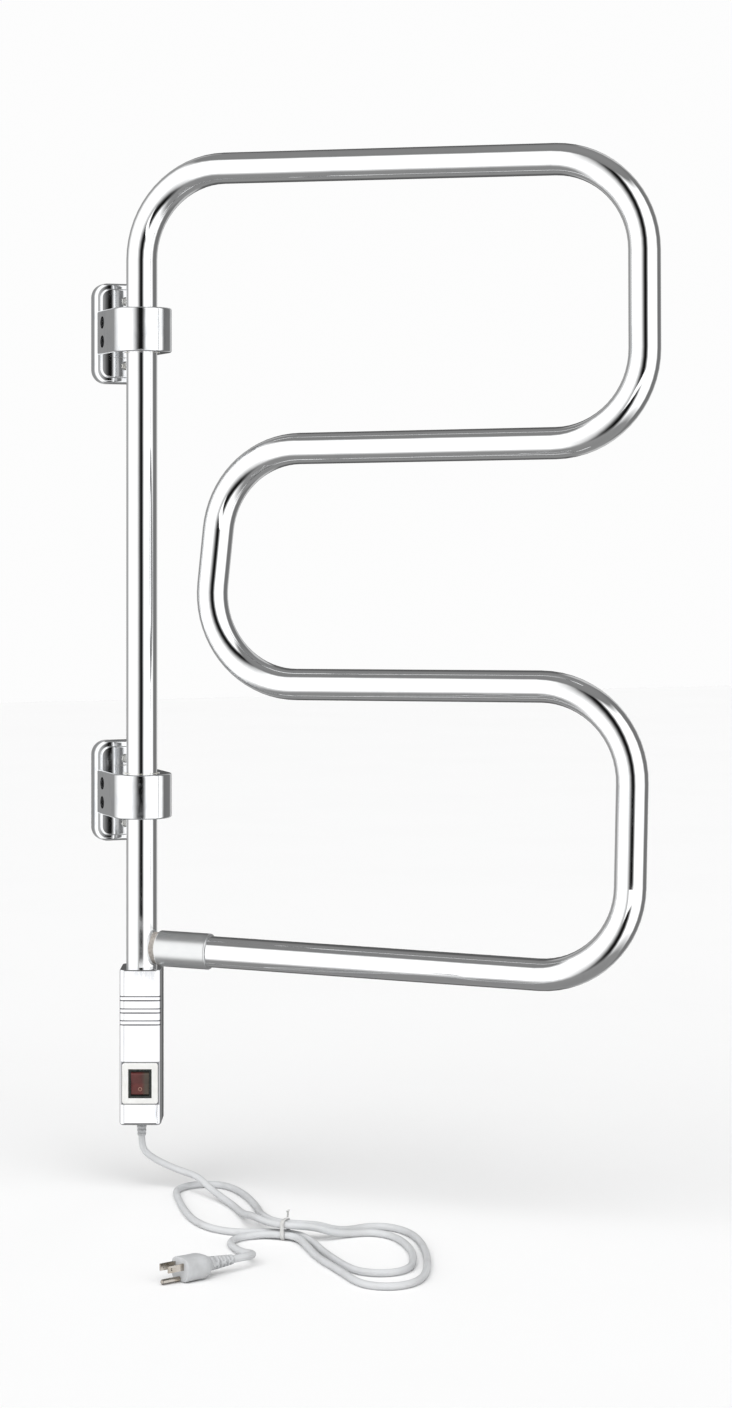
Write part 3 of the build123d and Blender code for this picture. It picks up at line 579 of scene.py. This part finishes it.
# The plates' faces are ground a little round from side to side before they are plated: level
# in the middle, and falling at edge_slope beyond half_flat.
plate_face, tree, shader = new_finish("plate_face", metallic=1.0)
surface(tree, shader, plated, {
    "Colour": (0.88, 0.89, 0.90, 1), "Haze": (0.66, 0.69, 0.73, 1), "Hazed": 0.8,
    "Cloud scale": 45, "Wipe scale": 170, "Ripple scale": 40, "Roughness": 0.06, "Spread": 0.14,
}, bump=0.12, depth=0.0004)
half_flat, ease, edge_slope = 0.010, 0.0105, 0.64
across = add(tree, "SeparateXYZ", {0: add(tree, "TexCoord").outputs["Object"]}).outputs["X"]
past_flat = maths(tree, "SUBTRACT", maths(tree, "ABSOLUTE", across), half_flat)
fall = maths(tree, "MAXIMUM", past_flat, 0.0)
squared = maths(tree, "MULTIPLY_ADD", fall, fall, ease ** 2)
crown = maths(tree, "MULTIPLY", maths(tree, "POWER", squared, 0.5), -edge_slope)
rounding = add(tree, "Bump", {"Strength": 1.0, "Distance": 1.0, "Height": crown})
fine_relief = tree.nodes["Bump"]
tree.links.new(rounding.outputs["Normal"], fine_relief.inputs["Normal"])
finish_cad(plate_face, "upper_wall_plate", "lower_wall_plate")

# ---- Screws and the post's ring ----
# Zinc plated steel: pan head wall screws with crossed slots, the screws behind the plates and
# in the housing's back, the socket's stud and the ring that grips the post's foot.
zinc, tree, shader = new_finish("zinc_steel", metallic=1.0)
surface(tree, shader, lined, {
    "Across": (0.6, 0.0, 0.8), "Line scale": 4000, "Colour": (0.68, 0.68, 0.66, 1),
    "Worn": (0.50, 0.46, 0.38, 1), "Wear": 0.7, "Roughness": 0.3, "Spread": 0.2,
}, bump=0.15, depth=0.00005)
finish_cad(zinc, "housing_screws", "post_ring", "socket_stud")
for which in ("upper", "lower"):
    finish_cad(zinc, which + "_wall_screws", which + "_arm_screws")

# ---- Clamp bolts ----
# Two steel socket cap bolts in each clamp, with a black oxide skin. They are sunk in
# counterbores in its left flank, and draw its two halves together.
oxide, tree, shader = new_finish("black_oxide", metallic=1.0)
surface(tree, shader, lined, {
    "Across": (1.0, 0.0, 0.0), "Line scale": 3500, "Colour": (0.045, 0.045, 0.05, 1),
    "Worn": (0.16, 0.15, 0.14, 1), "Wear": 0.5, "Roughness": 0.42, "Spread": 0.25,
}, bump=0.2, depth=0.00005)
finish_cad(oxide, "upper_clamp_bolts", "lower_clamp_bolts")

# ---- Nylon bushes and plugs ----
# Natural nylon, a little waxy and translucent: the slit bush in each clamp, the plugs in the
# tube's two ends and the bar that clamps the lead inside the housing.
nylon, tree, shader = new_finish("natural_nylon")
surface(tree, shader, moulded, {
    "Colour": (0.78, 0.76, 0.69, 1), "Soiled": (0.55, 0.53, 0.47, 1), "Soil": 0.5,
    "Cloud scale": 120, "Grain scale": 2200, "Roughness": 0.42, "Spread": 0.2,
}, bump=0.15)
shader.inputs["Subsurface Weight"].default_value = 0.25
shader.inputs["Subsurface Radius"].default_value = (0.003, 0.003, 0.002)
finish_cad(nylon, "upper_bush", "lower_bush", "post_plug", "tube_end_plug", "lead_clamp")

# ---- Switch housing ----
# Two pressed shells, chrome plated, parted at the post's axis. The front one has a slightly
# bowed face, three shallow grooves across it and the seat of the switch.
housing_turn = radians(22)
housing_side = Vector((cos(housing_turn), -sin(housing_turn), 0))
housing_front = Vector((-sin(housing_turn), -cos(housing_turn), 0))
bezel_z, bezel_half_wide, bezel_half_high = -0.7785, 0.0185, 0.021
groove_heights, groove_half = (-0.6912, -0.7039, -0.7162), 0.0021
housing_plate, tree, shader = new_finish("housing_plate", metallic=1.0)
surface(tree, shader, plated, {
    "Colour": (0.92, 0.925, 0.935, 1), "Haze": (0.80, 0.83, 0.88, 1), "Hazed": 0.6,
    "Cloud scale": 22, "Wipe scale": 120, "Ripple scale": 30, "Roughness": 0.05, "Spread": 0.08,
}, bump=0.3, depth=0.0004)
finish_cad(housing_plate, "housing_back")


def aside_of_post(tree):
    """How far a point of the surface is to the side of the post, across the housing."""
    spot = add(tree, "TexCoord").outputs["Object"]
    along = add(tree, "VectorMath", {0: spot, 1: housing_side}, operation="DOT_PRODUCT")
    return maths(tree, "SUBTRACT", along.outputs["Value"], post_y * housing_side.y)


# On the cover, painted shade darkens the chrome along the edges of the grooves and round the bezel.
cover_plate, tree, shader = new_finish("cover_plate", metallic=1.0)
shine = surface(tree, shader, plated, {
    "Colour": (0.92, 0.925, 0.935, 1), "Haze": (0.82, 0.85, 0.90, 1), "Hazed": 0.6,
    "Cloud scale": 22, "Wipe scale": 120, "Ripple scale": 30, "Roughness": 0.03, "Spread": 0.04,
}, bump=0.08, depth=0.0004)
spot = add(tree, "TexCoord")
height = add(tree, "SeparateXYZ", {0: spot.outputs["Object"]}).outputs["Z"]
# Painted shade: a thin dark line along both edges of each groove.
groove_shade = None
for groove_z in groove_heights:
    for edge_z in (groove_z - groove_half, groove_z + groove_half):
        groove_edge_shade = maths(tree, "COMPARE", height, edge_z, 0.0007)
        groove_shade = groove_edge_shade if groove_shade is None else maths(tree, "MAXIMUM", groove_shade, groove_edge_shade)
# Painted shade: a ring just outside the bezel, full for 0.6 mm and gone by 1.8 mm.
past_side = maths(tree, "SUBTRACT", maths(tree, "ABSOLUTE", aside_of_post(tree)), bezel_half_wide)
from_bezel = maths(tree, "ABSOLUTE", maths(tree, "ADD", height, -bezel_z))
past_end = maths(tree, "SUBTRACT", from_bezel, bezel_half_high)
past_bezel = maths(tree, "MAXIMUM", past_side, past_end)
ring = ramp_between(tree, past_bezel, 0.0006, 0.0018, 1.0, 0.0)
painted_shade = maths(tree, "MAXIMUM", groove_shade, ring)
facing = add(
    tree, "VectorMath", {0: spot.outputs["Normal"], 1: housing_front}, operation="DOT_PRODUCT"
).outputs["Value"]
# The painted shade is laid only on faces that look to the front, and turns the chrome dark grey.
front_shade = maths(tree, "MULTIPLY", painted_shade, ramp_between(tree, facing, 0.2, 0.5, 0.0, 0.95))
shaded_cover_tone = blend_colours(tree, front_shade, shine.outputs["Colour"], (0.13, 0.13, 0.14, 1))
tree.links.new(shaded_cover_tone, shader.inputs["Base Color"])
finish_cad(cover_plate, "housing_cover")

# ---- Switch ----
# A cream bezel let into the cover, round a black frame and a dark red rocker. The rocker is
# translucent over an unlit lamp, and is marked with a ring at its off end.
bezel_cream, tree, shader = new_finish("bezel_cream")
surface(tree, shader, moulded, {
    "Colour": (0.79, 0.79, 0.775, 1), "Soiled": (0.66, 0.65, 0.61, 1), "Soil": 0.4,
    "Cloud scale": 90, "Grain scale": 2600, "Roughness": 0.3, "Spread": 0.15,
}, bump=0.1)
finish_cad(bezel_cream, "switch_bezel")

switch_black, tree, shader = new_finish("switch_black")
surface(tree, shader, moulded, {
    "Colour": (0.018, 0.022, 0.020, 1), "Soiled": (0.06, 0.065, 0.06, 1), "Soil": 0.4,
    "Cloud scale": 150, "Grain scale": 2600, "Roughness": 0.28, "Spread": 0.2,
}, bump=0.12)
finish_cad(switch_black, "switch_body", "thermal_cutout")

rocker_red, tree, shader = new_finish("rocker_red")
red = surface(tree, shader, moulded, {
    "Colour": (0.135, 0.045, 0.042, 1), "Soiled": (0.085, 0.035, 0.03, 1), "Soil": 0.8,
    "Cloud scale": 110, "Grain scale": 3000, "Roughness": 0.22, "Spread": 0.18,
}, bump=0.06)
# The rocker's colour turns darker and greyer towards its right-hand side.
darker_aside = ramp_between(tree, aside_of_post(tree), 0.0015, 0.0055, 0.0, 0.85)
lens_tone = blend_colours(tree, darker_aside, red.outputs["Colour"], (0.085, 0.078, 0.062, 1))
tree.links.new(lens_tone, shader.inputs["Base Color"])
shader.inputs["Coat Weight"].default_value = 0.3
shader.inputs["Coat Roughness"].default_value = 0.12
finish_cad(rocker_red, "rocker")
soft_edge = cad["rocker"].modifiers.new("soft_edges", "BEVEL")
soft_edge.width = 0.0004
soft_edge.segments = 3
soft_edge.limit_method = "ANGLE"
soft_edge.angle_limit = radians(30)

# The off mark: a pale ring let into the lower slope of the rocker, mark_down from its waist.
# The slope stands out by slope_rise more at the rocker's lower end than at its waist.
tilt, pin_out = radians(8), 0.0195
waist, slope_rise, half_length = 0.0038, 0.0024, 0.011
mark_down, mark_r, mark_inner_r = 0.0054, 0.0020, 0.0015
sunk, proud = -0.0002, 0.00005
pin = Vector((post_x, post_y, bezel_z)) + housing_front * pin_out
rocker_out = housing_front * cos(tilt) - up * sin(tilt)
rocker_up = housing_front * sin(tilt) + up * cos(tilt)
slope_up = (rocker_up * half_length - rocker_out * slope_rise).normalized()
slope_out = (rocker_out * half_length + rocker_up * slope_rise).normalized()
mark_out = waist + slope_rise * mark_down / half_length
mark_at = pin + rocker_out * mark_out - rocker_up * mark_down
mark_rings = []
for radius, lift in ((mark_r, sunk), (mark_r, proud), (mark_inner_r, proud), (mark_inner_r, sunk)):
    mark_rings.append(circle(mark_at + slope_out * lift, housing_side, slope_up, radius))
points, faces = skin(mark_rings, joined=True)
mark_paint, tree, shader = new_finish("mark_paint")
surface(tree, shader, moulded, {
    "Colour": (0.42, 0.24, 0.18, 1), "Soiled": (0.2, 0.08, 0.06, 1), "Soil": 0.8,
    "Cloud scale": 900, "Grain scale": 4000, "Roughness": 0.4, "Spread": 0.2,
}, bump=0.1)
shape_from("rocker_off_mark", points, faces, mark_paint, "switch_rocker", "rocker_red")

# ---- Behind the switch ----
# Brass terminals and a glazed white terminal block on the housing's back, three insulated
# cores, and the two leads of the heating cable with their brown silicone skin.
brass, tree, shader = new_finish("terminal_brass", metallic=1.0)
surface(tree, shader, lined, {
    "Across": (0.2, 0.3, 0.93), "Line scale": 3000, "Colour": (0.72, 0.52, 0.24, 1),
    "Worn": (0.45, 0.30, 0.15, 1), "Wear": 0.6, "Roughness": 0.3, "Spread": 0.2,
}, bump=0.15, depth=0.00005)
finish_cad(brass, "switch_terminals", "terminal_screws")

block_glaze, tree, shader = new_finish("terminal_block")
surface(tree, shader, moulded, {
    "Colour": (0.84, 0.83, 0.79, 1), "Soiled": (0.60, 0.57, 0.50, 1), "Soil": 0.5,
    "Cloud scale": 200, "Grain scale": 2500, "Roughness": 0.25, "Spread": 0.2,
}, bump=0.15)
finish_cad(block_glaze, "terminal_block")

silicone, tree, shader = new_finish("cable_silicone")
surface(tree, shader, moulded, {
    "Colour": (0.26, 0.055, 0.03, 1), "Soiled": (0.14, 0.05, 0.035, 1), "Soil": 0.6,
    "Cloud scale": 220, "Grain scale": 2600, "Roughness": 0.5, "Spread": 0.2,
}, bump=0.2)
finish_cad(silicone, "heating_cable")

for name, colour in (("live_core", (0.11, 0.045, 0.02)), ("neutral_core", (0.02, 0.10, 0.38))):
    insulation, tree, shader = new_finish(name)
    surface(tree, shader, moulded, {
        "Colour": (*colour, 1), "Soiled": (*[0.5 * c for c in colour], 1), "Soil": 0.5,
        "Cloud scale": 260, "Grain scale": 2600, "Roughness": 0.36, "Spread": 0.2,
    }, bump=0.12)
    finish_cad(insulation, name)

# The earth core is green with a yellow stripe on each side.
earth, tree, shader = new_finish("earth_core")
green = surface(tree, shader, moulded, {
    "Colour": (0.03, 0.20, 0.04, 1), "Soiled": (0.02, 0.12, 0.03, 1), "Soil": 0.5,
    "Cloud scale": 260, "Grain scale": 2600, "Roughness": 0.36, "Spread": 0.2,
}, bump=0.12)
facing = add(tree, "SeparateXYZ", {0: add(tree, "TexCoord").outputs["Normal"]})
stripe = ramp_between(tree, maths(tree, "ABSOLUTE", facing.outputs["X"]), 0.55, 0.62)
two_tone = blend_colours(tree, stripe, green.outputs["Colour"], (0.70, 0.52, 0.03, 1))
tree.links.new(two_tone, shader.inputs["Base Color"])
finish_cad(earth, "earth_core")

inner_sheath, tree, shader = new_finish("inner_lead_sheath")
surface(tree, shader, moulded, {
    "Colour": (0.76, 0.77, 0.78, 1), "Soiled": (0.58, 0.58, 0.58, 1), "Soil": 0.5,
    "Cloud scale": 60, "Grain scale": 1200, "Roughness": 0.38, "Spread": 0.25,
}, bump=0.12)
finish_cad(inner_sheath, "inner_lead")

# ---- Cord gland ----
# A soft grey PVC sleeve in the housing's floor, held by a flange inside. Its tapered tail
# bends with the lead, and three grooves round it make it give.
gland_low, gland_high = (Vector(corner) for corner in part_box("cord_gland"))
post_foot = Vector((post_x, post_y, 0))
bore, tail_r, neck_r, flange_r = cord_r + 0.00005, cord_r + 0.0008, 0.00535, 0.0074
flange_thickness, groove_width = 0.003, 0.0014
flange_z = gland_high.z - flange_thickness
# Each groove of the tail: its lower edge, the tail's radius below, in and above it.
grooves = (
    (-0.8342, 0.00455, 0.00395, 0.0040, 0.00465), (-0.8302, 0.00480, 0.00405, 0.0041, 0.00490),
    (-0.8262, 0.00505, 0.00425, 0.0043, 0.00515),
)
gland_profile = [
    (bore, gland_low.z), (tail_r - 0.0003, gland_low.z), (tail_r, gland_low.z + 0.0004),
]
for edge_z, below, lower, upper, above in grooves:
    gland_profile.append((below, edge_z))
    gland_profile.append((lower, edge_z + 0.0002))
    gland_profile.append((upper, edge_z + groove_width - 0.0002))
    gland_profile.append((above, edge_z + groove_width))
gland_profile += [
    (neck_r, -0.8222), (neck_r, flange_z), (flange_r, flange_z + 0.0001),
    (flange_r, gland_high.z - 0.0003), (flange_r - 0.0004, gland_high.z), (bore, gland_high.z),
]
x_way, y_way = Vector((1, 0, 0)), Vector((0, 1, 0))
gland_rings = [circle(post_foot + up * z, x_way, y_way, r) for r, z in gland_profile]
gland = shape_from(
    "lead_gland", *skin(gland_rings, joined=True), grey_pvc, "rack", "cord_grey"
)
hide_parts("cord_gland")

# ---- Update ----
# Brings the view layer up to date.
bpy.context.view_layer.update()
